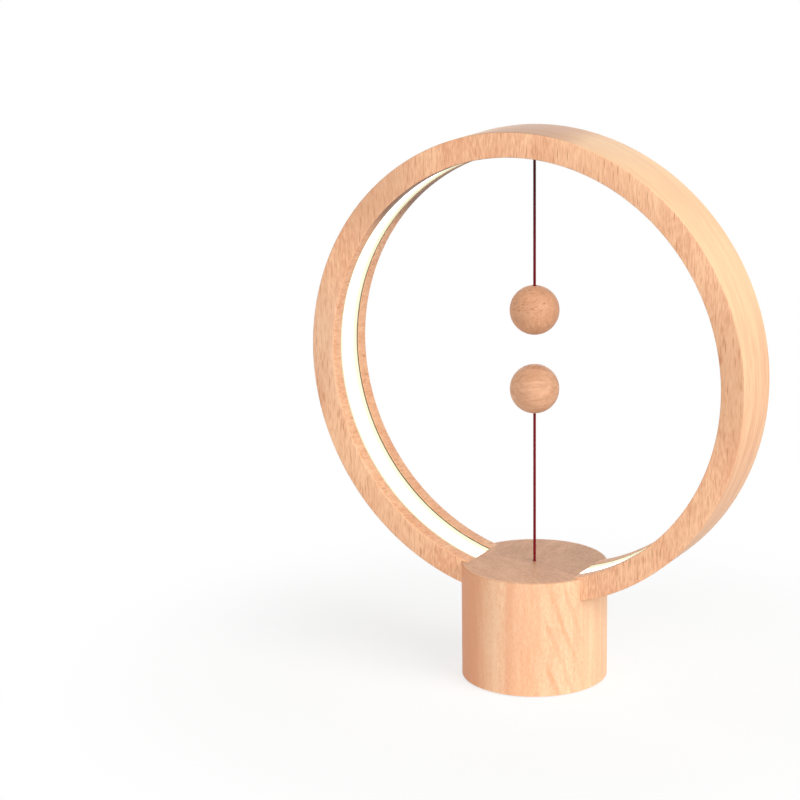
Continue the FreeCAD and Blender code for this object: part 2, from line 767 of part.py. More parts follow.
def stadium(width, height, front, back):
    """A bar with round sides along Y, level with the inlet's middle."""
    reach = f"({width} - ({height})) / 2"
    length = f"{back} - ({front})"
    flat = block((f"-{reach}", reach), (front, back),
                 (f"socket_middle - ({height}) / 2", f"socket_middle + ({height}) / 2"))
    return joined(flat, rod(height, length, f"-{reach}", front, "socket_middle", "Y"),
                  rod(height, length, reach, front, "socket_middle", "Y"))


def make_cap():
    """The base's top, cut away under to fit round the ring, and pinned with dowels."""
    outer = "base_diameter / 2"
    disc = turned([("0", "cap_bottom"), (outer, "cap_bottom"), (outer, "base_height"), ("0", "base_height")])
    rounded(disc, "base_edge", lambda circle: circle.Center.z > places.cap_middle)
    cutters = [ring_blank, rod("string_hole_diameter", "2 * base_height"),
               rod("guide_diameter", "guide_top", z="0")]
    for x, y in DOWELS:
        cutters.append(rod("dowel_diameter", "dowel_length", x, y, "dowel_bottom"))
    finish(without(disc, *cutters), "base_cap")
    dowels = [rod("dowel_diameter", "dowel_length", x, y, "dowel_bottom") for x, y in DOWELS]
    finish(grouped(*dowels), "cap_dowels")


def make_ring_fixings():
    finish(tube("guide_diameter / 2", "guide_bore / 2", "guide_bottom", "guide_top"), "cord_guide_tube")
    length = "ring_bottom + ring_screw_bite - ceiling - ring_screw_head_height"
    finish(grouped(*[screw("ring_screw", length, x, y, "ceiling") for x, y in RING_SCREWS]), "ring_screws")


def make_bottom():
    """The bottom cover and what is fixed to it: the foot ring, the ballast and their screws."""
    plate = turned([("0", "foot_proud"), ("foot_inner", "foot_proud"), ("foot_inner", "foot_thickness"),
                    ("foot_outer", "foot_thickness"), ("foot_outer", "foot_proud"),
                    ("cover_radius", "foot_proud"), ("cover_radius", "cover_top"), ("0", "cover_top")])
    holes, cover_screws, ballast_screws = [], [], []
    for x, y in COVER_SCREWS:
        holes += [rod("cover_screw_head", "cover_screw_head_height", x, y, "foot_thickness"),
                  rod("cover_screw_diameter", "cover_screw_end", x, y)]
        cover_screws.append(screw("cover_screw", "cover_screw_bite", x, y, "foot_thickness"))
    for x, y in BALLAST_SCREWS:
        holes += [rod("small_screw_head", "foot_proud + small_screw_head_height", x, y),
                  rod("small_screw_diameter", "cover_top + ballast_screw_bite", x, y)]
        ballast_screws.append(screw("small_screw", "cover_thickness - small_screw_head_height"
                                    " + ballast_screw_bite", x, y, "foot_proud"))
    finish(without(plate, *holes), "bottom_cover")
    finish(grouped(*cover_screws), "cover_screws")
    finish(grouped(*ballast_screws), "ballast_screws")
    finish(tube("foot_outer", "foot_inner", "0", "foot_thickness"), "foot_ring")
    threads = [rod("small_screw_diameter", "2 * ballast_screw_bite", x, y, "cover_top - ballast_screw_bite")
               for x, y in BALLAST_SCREWS]
    threads += [rod("board_screw_diameter", "2 * board_screw_depth", x, y, "ballast_top - board_screw_depth")
                for x, y in BOARD_SCREWS]
    disc = rod("2 * ballast_radius", "ballast_thickness", z="cover_top")
    finish(without(disc, *threads), "ballast_disc")


def make_board():
    """The round circuit board on its spacers, and the parts on it."""
    holes = [rod("board_screw_diameter", "2 * board_thickness", x, y, "board_bottom - board_thickness / 2")
             for x, y in BOARD_SCREWS]
    finish(without(rod("2 * board_radius", "board_thickness", z="board_bottom"), *holes), "circuit_board")
    spacers, screws = [], []
    for x, y in BOARD_SCREWS:
        sleeve = rod("spacer_diameter", "spacer_height", x, y, "ballast_top")
        bore = rod("board_screw_diameter", "3 * spacer_height", x, y, "ballast_top - spacer_height")
        spacers.append(without(sleeve, bore))
        screws.append(screw("board_screw", "board_thickness + spacer_height + board_screw_depth", x, y,
                            "board_top + board_screw_head_height", head_down=False))
    finish(grouped(*spacers), "board_spacers")
    finish(grouped(*screws), "board_screws")
    driver = block(("-driver_place_x", "driver_length - driver_place_x"),
                   ("-driver_place_y", "driver_width - driver_place_y"),
                   ("board_top", "board_top + driver_height"))
    finish(driver, "driver_chip")
    cans = [rod("capacitor_diameter", "capacitor_height", x, "-capacitor_place_y", "board_top")
            for x in ("-capacitor_place_x", "capacitor_place_x")]
    finish(grouped(*cans), "capacitors")
    chips = []
    for step in (-1.5, -0.5, 0.5, 1.5):
        left = f"{step} * resistor_pitch - resistor_length / 2"
        chips.append(block((left, f"{left} + resistor_length"),
                           ("resistor_place", "resistor_place + resistor_width"),
                           ("board_top", "board_top + resistor_height")))
    finish(grouped(*chips), "resistors")


def make_socket():
    """The power inlet on the board's edge: a metal shell and the tongue in it."""
    hollow = stadium("socket_width - 2 * socket_wall", "socket_height - 2 * socket_wall",
                     "socket_back + socket_wall", "socket_mouth + socket_wall")
    shell = stadium("socket_width", "socket_height", "socket_back", "socket_mouth")
    finish(without(shell, hollow), "inlet_shell")
    tongue = block(("-tongue_width / 2", "tongue_width / 2"),
                   ("socket_back + socket_wall", "socket_mouth - tongue_setback"),
                   ("socket_middle - tongue_height / 2", "socket_middle + tongue_height / 2"))
    finish(tongue, "inlet_tongue")


def check(items):
    """Stops if anything in the document failed, or a sub-part has no sound shape."""
    for item in doc.Objects:
        if "Invalid" in item.State or "Error" in item.State:
            raise RuntimeError(f"{item.Label} failed: {item.State}")
    for item in items:
        if item.Shape.isNull() or not item.Shape.isValid() or not item.Shape.Solids:
            raise RuntimeError(f"{item.Label} has no sound shape")


ring_blank = rounded(hoop("ring_depth", "ring_inner", "ring_outer"), "ring_edge", lambda circle: True)
make_ring()
make_light()
make_chips()
make_led_leads()
make_anchor()
make_ball("upper", "upper_ball_centre", True)
make_ball("lower", "lower_ball_centre", False)
make_pull_string()
make_slider()
make_spring()
make_bracket()
make_lever()
make_microswitch()
make_switch_leads()
make_shell()
make_cap()
make_ring_fixings()
make_bottom()
make_board()
make_socket()
doc.recompute()
check(PARTS)

os.makedirs("parts", exist_ok=True)
for part in PARTS:
    part.Shape.exportStep(f"parts/{part.Label}.step")
    print(f"{part.Label}: {len(part.Shape.Solids)} solids, {part.Shape.Volume:.1f} mm3")
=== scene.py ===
import math

import bmesh
import bpy
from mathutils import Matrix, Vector


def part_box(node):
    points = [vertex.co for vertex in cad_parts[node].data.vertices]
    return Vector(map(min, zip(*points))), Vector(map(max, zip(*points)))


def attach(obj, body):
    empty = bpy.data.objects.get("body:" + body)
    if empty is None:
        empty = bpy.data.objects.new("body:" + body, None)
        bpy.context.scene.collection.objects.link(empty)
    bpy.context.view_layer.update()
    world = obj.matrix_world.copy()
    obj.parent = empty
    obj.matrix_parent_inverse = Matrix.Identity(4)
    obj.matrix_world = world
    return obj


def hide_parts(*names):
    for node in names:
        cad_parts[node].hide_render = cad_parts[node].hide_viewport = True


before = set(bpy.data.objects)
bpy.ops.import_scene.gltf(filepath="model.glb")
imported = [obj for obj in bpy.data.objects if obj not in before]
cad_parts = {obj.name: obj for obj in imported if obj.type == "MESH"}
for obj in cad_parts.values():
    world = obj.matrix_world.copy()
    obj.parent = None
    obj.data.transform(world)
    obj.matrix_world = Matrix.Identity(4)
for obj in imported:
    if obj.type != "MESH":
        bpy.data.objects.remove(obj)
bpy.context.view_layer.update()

scene = bpy.context.scene


# A colour typed as the 0 to 255 numbers of a paint chart.
def paint(red, green, blue):
    def linear(part):
        part /= 255
        return part / 12.92 if part <= 0.04045 else ((part + 0.055) / 1.055) ** 2.4
    return (linear(red), linear(green), linear(blue), 1)


# Even steps from one number to another, with both of them.
def evenly(start, end, steps):
    return [start + (end - start) * i / steps for i in range(steps + 1)]


# The angles of even steps once round.
def turns(steps):
    return [math.tau * i / steps for i in range(steps)]


# A socket in a sum: each operator adds a Math node.
class Reading:
    def __init__(self, finish, socket):
        self.finish = finish
        self.socket = socket

    def __add__(self, other):
        return self.finish.maths("ADD", self, other)

    def __sub__(self, other):
        return self.finish.maths("SUBTRACT", self, other)

    def __rsub__(self, other):
        return self.finish.maths("SUBTRACT", other, self)

    def __mul__(self, other):
        return self.finish.maths("MULTIPLY", self, other)

    __radd__ = __add__
    __rmul__ = __mul__

    # Another output of the same node.
    def beside(self, output):
        return Reading(self.finish, self.socket.node.outputs[output])


# A material or a world while its nodes are laid out.
class Finish:
    def __init__(self, holder):
        holder.use_nodes = True
        self.holder = holder
        self.tree = holder.node_tree
        self.tree.nodes.clear()

    # Settings are set first, then the sockets take values or links.
    def node(self, kind, settings=None, values=None, output=0):
        made = self.tree.nodes.new("ShaderNode" + kind)
        for key, value in (settings or {}).items():
            setattr(made, key, value)
        for key, value in (values or {}).items():
            if isinstance(value, Reading):
                self.tree.links.new(value.socket, made.inputs[key])
            else:
                made.inputs[key].default_value = value
        return Reading(self, made.outputs[output]) if made.outputs else None

    def maths(self, operation, *values):
        return self.node("Math", {"operation": operation}, dict(enumerate(values)))

    # A number told from vectors, such as a distance.
    def measure(self, operation, *vectors):
        return self.node("VectorMath", {"operation": operation}, dict(enumerate(vectors)), output="Value")

    def place(self):
        return self.node("TexCoord", output="Object")

    def axes(self, vector):
        first = self.node("SeparateXYZ", {}, {0: vector})
        return [first.beside(i) for i in range(3)]

    def height(self):
        return self.axes(self.place())[2]

    def join(self, x, y, z):
        return self.node("CombineXYZ", {}, {0: x, 1: y, 2: z})

    # The place seen along a direction: its third axis runs along it, its first axis across it.
    def along(self, place, direction, across):
        third = Vector(direction).normalized()
        second = third.cross(Vector(across)).normalized()
        first = second.cross(third)
        return self.join(*[self.measure("DOT_PRODUCT", place, axis) for axis in (first, second, third)])

    def scaled(self, place, scale, shift=(0, 0, 0)):
        return self.node("Mapping", {}, {"Vector": place, "Location": shift, "Scale": scale})

    def noise(self, place, detail=3, roughness=0.6):
        return self.node("TexNoise", {}, {"Vector": place, "Scale": 1, "Detail": detail,
                                          "Roughness": roughness})

    def ease(self, value, low, high, start=0, end=1):
        return self.node("MapRange", {"interpolation_type": "SMOOTHSTEP"},
                         {0: value, 1: low, 2: high, 3: start, 4: end})

    # Between two numbers, and between two colours.
    def blend(self, share, first, second):
        return first + (second - first) * share

    def mix(self, share, first, second):
        return self.node("Mix", {"data_type": "RGBA"}, {0: share, 6: first, 7: second}, output=2)

    def bump(self, height, depth):
        return self.node("Bump", {}, {"Height": height, "Strength": 1, "Distance": depth})

    def surface(self, **values):
        values = {key.replace("_", " "): value for key, value in values.items()}
        self.show(self.node("BsdfPrincipled", {}, values))
        return self.holder

    def show(self, shader, kind="OutputMaterial"):
        self.node(kind, {}, {"Surface": shader})


def newFinish(name):
    return Finish(bpy.data.materials.new(name))


# Sizes are in mm across the grain, and a stretch is how much longer a mark is along it.
beechLook = {
    "pale": paint(255, 204, 162),
    "deep": paint(231, 165, 125),
    "fleck": paint(194, 122, 84),
    "grain": (0, 0, 1),              # the way the grain runs
    "across": (1, 0, 0),             # the way in which its flecks are narrow
    "shade": 0.5,                    # 0 is all pale, 1 all deep
    "tone": (14, 4, 0.85),           # size, stretch and depth
    "streak": (2.0, 9, 0.9),
    "fibre": (0.6, 6, 1.9),
    "crisp": 0.55,                   # how much fine noise the three have
    "patches": (),                   # place, reach, share and tint of the wood around it
    "patchCore": 0.016,              # metres around its place where a patch is whole
    "flecks": ((0.75, 13, 0.42, 1.0), (1.1, 12, 0.28, 0.85)),   # size, stretch, reach and depth
    "fleckWidth": 2.0,
    "fleckCore": 0.2,                # the share of its reach where a fleck is whole
    "fleckSink": 0.4,                # how deep it lies in the relief
    "rare": (0.15, 0.85),            # how few of the flecks show fully
    "crowd": (14, 2, 0.45),          # size and stretch of where flecks are many, and how bare the rest is
    "crowdEdge": (0.4, 0.6),
    "rough": 0.5,
    "shine": 0.3,                    # a dull oiled surface
    "raised": 0.00002,               # metres that the grain stands out
}
# Each layer reads its noise at a place of its own, so that none repeats another.
layerShifts = {
    "tone": (3.1, 7.7, 1.9),
    "streak": (9.3, 2.4, 0.2),
    "fibre": (1.3, 0.4, 5.2),
    "crowd": (2.2, 5.5, 8.8),
}


# The colour and relief of beech with its grain along the third axis of the place given, in metres.
def beech(finish, place, look):
    def stretched(size, stretch, shift, width=1):
        rate = 1000 / size
        return finish.scaled(place, (rate, rate / width, rate / stretch), shift)

    shade = look["shade"]
    for layer in ("tone", "streak", "fibre"):        # the last of them is the relief as well
        size, stretch, depth = look[layer]
        relief = finish.noise(stretched(size, stretch, layerShifts[layer]), roughness=look["crisp"]) - 0.5
        shade = shade + relief * depth
    colour = finish.mix(finish.ease(shade, 0, 1), look["pale"], look["deep"])
    for centre, reach, share, tint in look["patches"]:
        away = finish.measure("DISTANCE", finish.place(), centre)
        colour = finish.mix(finish.ease(away, look["patchCore"], reach, share, 0), colour, tint)
    size, stretch, bare = look["crowd"]
    crowd = finish.noise(stretched(size, stretch, layerShifts["crowd"]), 1, 0.5)
    crowd = finish.ease(crowd, *look["crowdEdge"], bare, 1)
    for size, stretch, reach, depth in look["flecks"]:
        cells = stretched(size, stretch, (size, 3 * size, 0), look["fleckWidth"])
        near = finish.node("TexVoronoi", {}, {"Vector": cells, "Scale": 1})
        pick = finish.axes(near.beside("Color"))[0]
        mark = finish.ease(near, reach * look["fleckCore"], reach, 1, 0)
        mark = mark * finish.ease(pick, *look["rare"]) * crowd
        colour = finish.mix(mark * depth, colour, look["fleck"])
        relief = relief - mark * look["fleckSink"]
    return colour, relief


# Beech with its grain the way that its look says.
def straightBeech(finish, look):
    return beech(finish, finish.along(finish.place(), look["grain"], look["across"]), look)


def oiled(finish, colour, relief):
    return finish.surface(Base_Color=colour, Roughness=beechLook["rough"],
                          Specular_IOR_Level=beechLook["shine"],
                          Normal=finish.bump(relief, beechLook["raised"]))


def beechFinish(name, look):
    finish = newFinish(name)
    return oiled(finish, *straightBeech(finish, look))


# Beech with one grain below a height and another above it.
def twoGrainFinish(name, low, high):
    finish = newFinish(name)
    lowColour, lowRelief = straightBeech(finish, low)
    highColour, highRelief = straightBeech(finish, high)
    share = finish.ease(finish.height(), *high["from"])
    relief = finish.blend(share, lowRelief, highRelief)
    return oiled(finish, finish.mix(share, lowColour, highColour), relief)


def addPiece(name, mesh, body, finishes, slot, *nodes):
    piece = bpy.data.objects.new(name, mesh)
    scene.collection.objects.link(piece)
    for finish in finishes:
        mesh.materials.append(finish)
    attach(piece, body)
    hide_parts(*nodes)
    return piece


# Each corner of an outline becomes a small curve: a corner is (across, along, softness).
def softened(corners, steps=4):
    points = []
    count = len(corners)
    for i, (across, along, soft) in enumerate(corners):
        here = Vector((across, along))
        if not soft:
            points.append(here)
            continue
        before = Vector(corners[i - 1][:2])
        after = Vector(corners[(i + 1) % count][:2])
        start = here + (before - here).normalized() * soft
        end = here + (after - here).normalized() * soft
        for t in evenly(0, 1, steps):
            points.append(start * (1 - t) ** 2 + here * 2 * t * (1 - t) + end * t ** 2)
    return points


# The corners of one side of an outline, and the same corners on its other side.
def mirrored(corners):
    return corners + [(-across, along, soft) for across, along, soft in reversed(corners)]


# Rings of points joined in a row by quads. The row is joined to itself, or its ends are capped.
def addSkin(form, rings, closedRow=False):
    rows = [[form.verts.new(point) for point in ring] for ring in rings]
    for low, high in zip(rows, rows[1:] + rows[:1] if closedRow else rows[1:]):
        for j in range(len(low)):
            k = (j + 1) % len(low)
            form.faces.new((low[j], low[k], high[k], high[j]))
    if not closedRow:
        form.faces.new(list(reversed(rows[0])))
        form.faces.new(rows[-1])


def meshFrom(name, form):
    bmesh.ops.recalc_face_normals(form, faces=form.faces)
    mesh = bpy.data.meshes.new(name)
    form.to_mesh(mesh)
    form.free()
    for face in mesh.polygons:
        face.use_smooth = True
    return mesh


# One skin, with its edges sharp from an angle up. Points that two outlines share become one.
def skinned(name, rings, closedRow, sharp):
    form = bmesh.new()
    addSkin(form, rings, closedRow)
    bmesh.ops.remove_doubles(form, verts=form.verts, dist=1e-7)
    mesh = meshFrom(name, form)
    mesh.set_sharp_from_angle(angle=math.radians(sharp))
    return mesh


# An outline of (radius, height) turned round the Z axis.
def turnedMesh(name, outline, steps):
    rings = [[(r * math.cos(a), r * math.sin(a), z) for r, z in outline] for a in turns(steps)]
    return skinned(name, rings, closedRow=True, sharp=35)


ringSizes = {
    "middle": 0.157,         # height of its centre
    "outer": 0.115,
    "inner": 0.103,
    "half": 0.016,           # half its depth
    "edge": 0.0007,          # softness of its four edges
    "mouth": 0.0085,         # half the channel's mouth
    "step": 0.1065,          # radius of the step that the diffuser lies on
    "floor": 0.1095,
    "floorHalf": 0.007,
    "lip": 0.0003,           # softness of the channel's lips
    "footAngle": 13.04,      # from straight down to each end of the channel
    "steps": 360,
    "footSteps": 12,
    "facing": 0.7,           # how squarely a face looks out or in to take that side's finish
    "margin": 0.0002,        # how far past its mouth the channel's finish may reach
}


# Outlines of (depth, radius) set round the ring's middle, each at an angle from its top.
def hoopMesh(name, stops, closedRow):
    rings = [[(r * math.sin(a), y, ringSizes["middle"] + r * math.cos(a)) for y, r in outline]
             for a, outline in stops]
    return skinned(name, rings, closedRow, sharp=30)


def ringMesh():
    size = ringSizes
    half, inner, outer, edge = size["half"], size["inner"], size["outer"], size["edge"]
    mouth, step, narrow = size["mouth"], size["step"], size["floorHalf"]
    body = [(-half, inner, edge), (-half, outer, edge), (half, outer, edge), (half, inner, edge)]
    channel = mirrored([(mouth, inner, size["lip"]), (mouth, step, 0), (narrow, step, 0),
                        (narrow, size["floor"], 0)])
    filled = [(y, inner, soft) for y, _, soft in channel]
    hollowed, whole = softened(body + channel), softened(body + filled)
    end = math.pi - math.radians(size["footAngle"])
    stops = [(a, hollowed) for a in evenly(-end, end, size["steps"])]
    stops += [(a, whole) for a in evenly(end, math.tau - end, size["footSteps"])]
    return hoopMesh("beechRing", stops, closedRow=True)


# The place told as depth, distance from the ring's middle and run round it.
def roundTheRing(finish):
    across, depth, height = finish.axes(finish.place())
    height = height - ringSizes["middle"]
    turn = finish.maths("ARCTAN2", across, height)
    radius = finish.maths("SQRT", across * across + height * height)
    return depth, radius, turn * ringSizes["outer"]


ringFaceLook = {
    **beechLook,
    "patches": (
        ((0.050, 0, 0.255), 0.050, 0.25, paint(255, 208, 166)),
        ((-0.081, 0, 0.093), 0.060, 0.25, paint(255, 208, 166)),
        ((-0.108, 0, 0.160), 0.048, 0.4, paint(238, 200, 168)),
        ((-0.076, 0, 0.236), 0.042, 0.5, paint(216, 166, 131)),
        ((0.110, 0, 0.165), 0.055, 0.5, paint(214, 165, 127)),
    ),
}
ringSideLook = {
    **beechLook,
    "pale": paint(250, 202, 158),
    "deep": paint(228, 162, 120),
    "tone": (7, 8, 1.3),
    "streak": (2.4, 16, 1.0),
    "fibre": (0.5, 16, 1.3),
    "flecks": ((1.2, 6, 0.3, 0.12),),
    "drift": 0.05,           # how far the streaks wander across the ring on their way round it
    # painted light: a paler tint up the ring's upper outside
    "litCream": paint(252, 216, 170),
    "litCreamFrom": (0.130, 0.230),     # heights between which it turns paler, as painted light on its upper side
    "litCreamUntil": (0.2675, 0.2725),  # and between which it is painted in shade at the very top
    "litCreamDepth": 0.55,
    # painted shade on the very top of the ring's outside
    "topShade": paint(194, 147, 114),
    "topShadeDepth": 0.8,
    # painted light that lifts the lower outside of the ring
    "low": paint(255, 204, 164),
    "lowLightFrom": (0.060, 0.135),       # heights between which the painted light on the lower outside fades
    "lowLightDepth": 0.8,
}
ringInsideLook = {
    **beechLook,
    "pale": paint(248, 198, 157),
    "deep": paint(227, 160, 119),
    "tone": (12, 2, 1.0),
    "streak": (2.2, 4, 0.9),
    "fibre": (0.62, 4, 1.5),
    "flecks": ((1.2, 6, 0.36, 0.9), (1.0, 4, 0.36, 0.6)),
    "slant": 0.2,
    "handled": paint(92, 66, 50),    # painted shade, darker on the inside near the ring's top
    "handledFrom": (0.214, 0.231),
    "insideTopShadeDepth": 0.72,
}
channelLook = {
    # painted shade on the channel's walls, mottled between two browns
    "shadeDark": paint(92, 73, 56),
    "shadePale": paint(128, 104, 80),
    "shadeMottle": (0.35, 0.7),
    "marks": (1200, 1200, 90),       # to a metre of depth, of radius and of run
    "rough": 0.7,
    "raised": 0.00003,
}


def ringSideFinish():
    look = ringSideLook
    finish = newFinish("ringSide")
    depth, radius, run = roundTheRing(finish)
    colour, relief = beech(finish, finish.join(depth + run * look["drift"], radius, run), look)
    height = finish.height()
    # Painted shade darkens the very top of the ring's outside.
    top = finish.ease(height, *look["litCreamUntil"])
    # Painted light makes the upper outside paler.
    paintedLight = finish.ease(height, *look["litCreamFrom"]) * (1 - top) * look["litCreamDepth"]
    colour = finish.mix(paintedLight, colour, look["litCream"])
    colour = finish.mix(top * look["topShadeDepth"], colour, look["topShade"])
    # Painted light makes the lower outside paler.
    colour = finish.mix(finish.ease(height, *look["lowLightFrom"], look["lowLightDepth"], 0), colour, look["low"])
    return oiled(finish, colour, relief)


def ringInsideFinish():
    look = ringInsideLook
    finish = newFinish("ringInside")
    depth, radius, run = roundTheRing(finish)
    colour, relief = beech(finish, finish.join(run + depth * look["slant"], radius, depth), look)
    # Painted shade darkens the inside near the ring's top.
    handled = finish.ease(finish.height(), *look["handledFrom"]) * look["insideTopShadeDepth"]
    return oiled(finish, finish.mix(handled, colour, look["handled"]), relief)


# The routed channel is painted dark as shade, so that only a thin shadow line shows beside the diffuser.
def ringChannelFinish():
    look = channelLook
    finish = newFinish("ringChannel")
    marks = finish.noise(finish.scaled(finish.join(*roundTheRing(finish)), look["marks"]))
    colour = finish.mix(finish.ease(marks, *look["shadeMottle"]), look["shadeDark"], look["shadePale"])
    return finish.surface(Base_Color=colour, Roughness=look["rough"],
                          Normal=finish.bump(marks, look["raised"]))


# Which of the ring's finishes a face takes.
def ringPart(face):
    size = ringSizes
    centre = face.center - Vector((0, 0, size["middle"]))
    radial = Vector((centre.x, 0, centre.z))
    facing = face.normal.dot(radial.normalized())
    if facing > size["facing"]:
        return "side"
    if abs(centre.y) < size["mouth"] + size["margin"] and radial.length > size["inner"] + size["lip"]:
        return "channel"
    return "inside" if facing < -size["facing"] else "face"


ringFinishes = {
    "face": beechFinish("ringFace", ringFaceLook),
    "side": ringSideFinish(),
    "inside": ringInsideFinish(),
    "channel": ringChannelFinish(),
}
ring = addPiece("beechRing", ringMesh(), "base", ringFinishes.values(), "beech", "ring")
for face in ring.data.polygons:
    face.material_index = list(ringFinishes).index(ringPart(face))
print("ring turned")


diffuserSizes = {
    "face": 0.1045,
    "back": 0.1065,
    "shoulder": 0.1048,      # radius of its outer corners, a little back from the face
    "half": 0.008,
    "endAngle": 14.006,      # from straight down
    "rib": 0.0012,           # how far each soft side rib stands in from the face
    "ribOut": 0.0077,        # half the width over the ribs
    "ribIn": 0.0068,
    "ribFoot": 0.0045,       # where the face starts to rise to the rib
    "soft": 0.0003,
    "steps": 360,
}
glowLook = {
    "face": paint(238, 238, 230),
    "rib": paint(150, 150, 128),
    "glow": (1.0, 1.0, 0.97, 1),
    "ribGlow": (0.295, 0.295, 0.215, 1),
    "fade": (0.0039, 0.0057),        # metres from its middle between which the glow falls off
    "strength": 2.2,
    "frost": 900,                    # marks to a metre
    "crisp": 0.5,
    "rough": (0.4, 0.6),
    "raised": 0.00001,
}


def diffuserFinish():
    look = glowLook
    finish = newFinish("frostedDiffuser")
    depth = finish.axes(finish.place())[1]
    bright = finish.ease(finish.maths("ABSOLUTE", depth), *look["fade"], 1, 0)
    frost = finish.noise(finish.scaled(finish.place(), (look["frost"],) * 3), roughness=look["crisp"])
    return finish.surface(Base_Color=finish.mix(bright, look["rib"], look["face"]),
                          Roughness=finish.blend(frost, *look["rough"]),
                          Emission_Color=finish.mix(bright, look["ribGlow"], look["glow"]),
                          Emission_Strength=look["strength"], Normal=finish.bump(frost, look["raised"]))


def diffuserMesh():
    size = diffuserSizes
    half, face, shoulder, soft = size["half"], size["face"], size["shoulder"], size["soft"]
    top = face - size["rib"]
    outline = softened(mirrored([
        (half, size["back"], 0), (half, shoulder, soft), (size["ribOut"], shoulder, 0),
        (size["ribOut"], top, soft), (size["ribIn"], top, soft), (size["ribFoot"], face, 2 * soft)]))
    end = math.pi - math.radians(size["endAngle"])
    stops = [(a, outline) for a in evenly(-end, end, size["steps"])]
    return hoopMesh("diffuserStrip", stops, closedRow=False)


addPiece("diffuserStrip", diffuserMesh(), "base", [diffuserFinish()], "frosted_diffuser", "diffuser")
print("diffuser laid in")


# Told for a ball whose string is above it.
ballSizes = {
    "radius": 0.012,
    "bore": 0.005,           # radius of the bore that the plug closes
    "boreTop": 0.001,        # its height over the ball's middle
    "plug": 0.004,           # how thick the plug is
    "seam": 0.0001,          # softness of the seam round the plug
    "string": 0.0009,        # radius of the string's hole
    "mouth": 0.0003,         # softness of the hole's mouth
    "mouthCurve": ((0, 1.4), (0.35, 0.5)),   # out from the hole and down from the top, in mouths
    "hair": 0.00001,         # the plug's gap to its bore and to its own axis
    "highSteps": 40,
    "lowSteps": 30,
    "plugSteps": 12,
    "steps": 128,            # round the ball
    "plugTurns": 96,
}
ballPlaces = {"upper": (0.1845, 1), "lower": (0.1455, -1)}   # height, and 1 where its string is above it
ballLook = {
    **beechLook,
    "pale": paint(224, 170, 132),
    "deep": paint(200, 141, 105),
    "fleck": paint(158, 92, 64),
    "rare": (0, 0.6),
    "crowd": (6, 2, 0.6),
}
upperBallLow = {
    **ballLook,
    # deeper than the rest: painted shade on the ball's underside
    "shade": 0.58,
    "grain": (0.1, -0.1, 1),
    "tone": (8, 3, 0.6),
    "streak": (1.5, 9, 1.5),
    "fibre": (0.6, 6, 1.6),
    "flecks": ((1.1, 5, 0.22, 0.3),),
}
upperBallHigh = {
    **ballLook,
    "grain": (0.86, 0.47, 0.16),
    "across": (0, 0, 1),
    "tone": (9, 2, 0.6),
    "streak": (1.4, 3, 0.7),
    "fibre": (0.6, 2.4, 1.2),
    "flecks": ((1.3, 3, 0.40, 0.65), (0.9, 2.4, 0.33, 0.5)),
    "from": (0.180, 0.185),          # heights between which it takes over
}
lowerBallLook = {
    **ballLook,
    "pale": paint(229, 178, 142),
    "deep": paint(204, 149, 114),
    "grain": (0.87, 0.47, 0.10),
    "across": (0, 0, 1),
    "tone": (3.2, 7, 1.5),
    "fibre": (0.5, 5, 0.9),
    "streak": (1.3, 9, 1.2),
    "flecks": ((0.9, 4, 0.26, 0.2),),
}
plugLook = {**ballLook, "grain": (0, 1, 0.2)}


# Points down the ball's side between two distances from its axis, on its upper or lower half.
def ballSide(start, end, steps, isUpper):
    big = ballSizes["radius"]
    angles = [math.asin(start / big), math.asin(end / big)]
    if not isUpper:
        angles = [math.pi - a for a in angles]
    return [(big * math.sin(a), big * math.cos(a)) for a in evenly(*angles, steps)]


def ballMeshes(name, centre, side):
    size = ballSizes
    big, bore, seam, hair = size["radius"], size["bore"], size["seam"], size["hair"]
    hole, mouth, steps = size["string"], size["mouth"], size["steps"]
    low = 2 * seam - math.sqrt(big ** 2 - bore ** 2)         # where the seam's soft edge ends in the bore
    outline = [(hole, size["boreTop"])]
    outline += [(hole + mouth * out, big - mouth * down) for out, down in size["mouthCurve"]]
    outline += ballSide(hole + mouth, big, size["highSteps"], True)
    outline += ballSide(big, bore + seam, size["lowSteps"], False)[1:]
    outline += [(bore, low), (bore, size["boreTop"])]
    shell = turnedMesh(name, [(r, centre + side * z) for r, z in outline], steps)
    outline = ballSide(hair, bore - seam, size["plugSteps"], False)
    outline += [(bore - hair, low), (bore - hair, size["plug"] - big), (hair, size["plug"] - big)]
    plug = turnedMesh(name + "Plug", [(r, centre + side * z) for r, z in outline], size["plugTurns"])
    return shell, plug


ballWoods = {
    "upper": twoGrainFinish("upperBallWood", upperBallLow, upperBallHigh),
    "lower": beechFinish("lowerBallWood", lowerBallLook),
}
for name, (centre, side) in ballPlaces.items():
    shell, plug = ballMeshes(name + "Ball", centre, side)
    plugWood = beechFinish(name + "PlugWood", plugLook)
    addPiece(name + "Ball", shell, name + "_float", [ballWoods[name]], "beech", name + "_ball")
    addPiece(name + "BallPlug", plug, name + "_float", [plugWood], "beech", name + "_ball_plug")
print("balls turned")


stringSizes = {
    "strands": 5,
    "strandShare": 0.5,      # a strand's thickness, as a share of the string's
    "coreShare": 0.46,
    "pitch": 0.0038,
    "steps": 16,             # stops in one turn of the twist
    "sides": 10,
    "runs": 3,               # runs of the route
    "bendSteps": 16,
    "bendEnd": 0.2,          # a bend's thickness at its ends, as a share of its middle's
}
stringLook = {
    "red": paint(125, 10, 24),
    "shadedWine": paint(60, 15, 23),
    "fade": (0.186, 0.262),          # heights between which the string darkens as painted shade towards the ring
    "dark": paint(60, 10, 16),
    "darkFrom": (0.45, 0.8),
    "darkDepth": 0.35,
    "fibres": (9000, 9000, 2600),    # to a metre along each axis
    "crisp": 0.65,
    "rough": 0.7,
    "shine": 0.15,
    "raised": 0.00003,
}


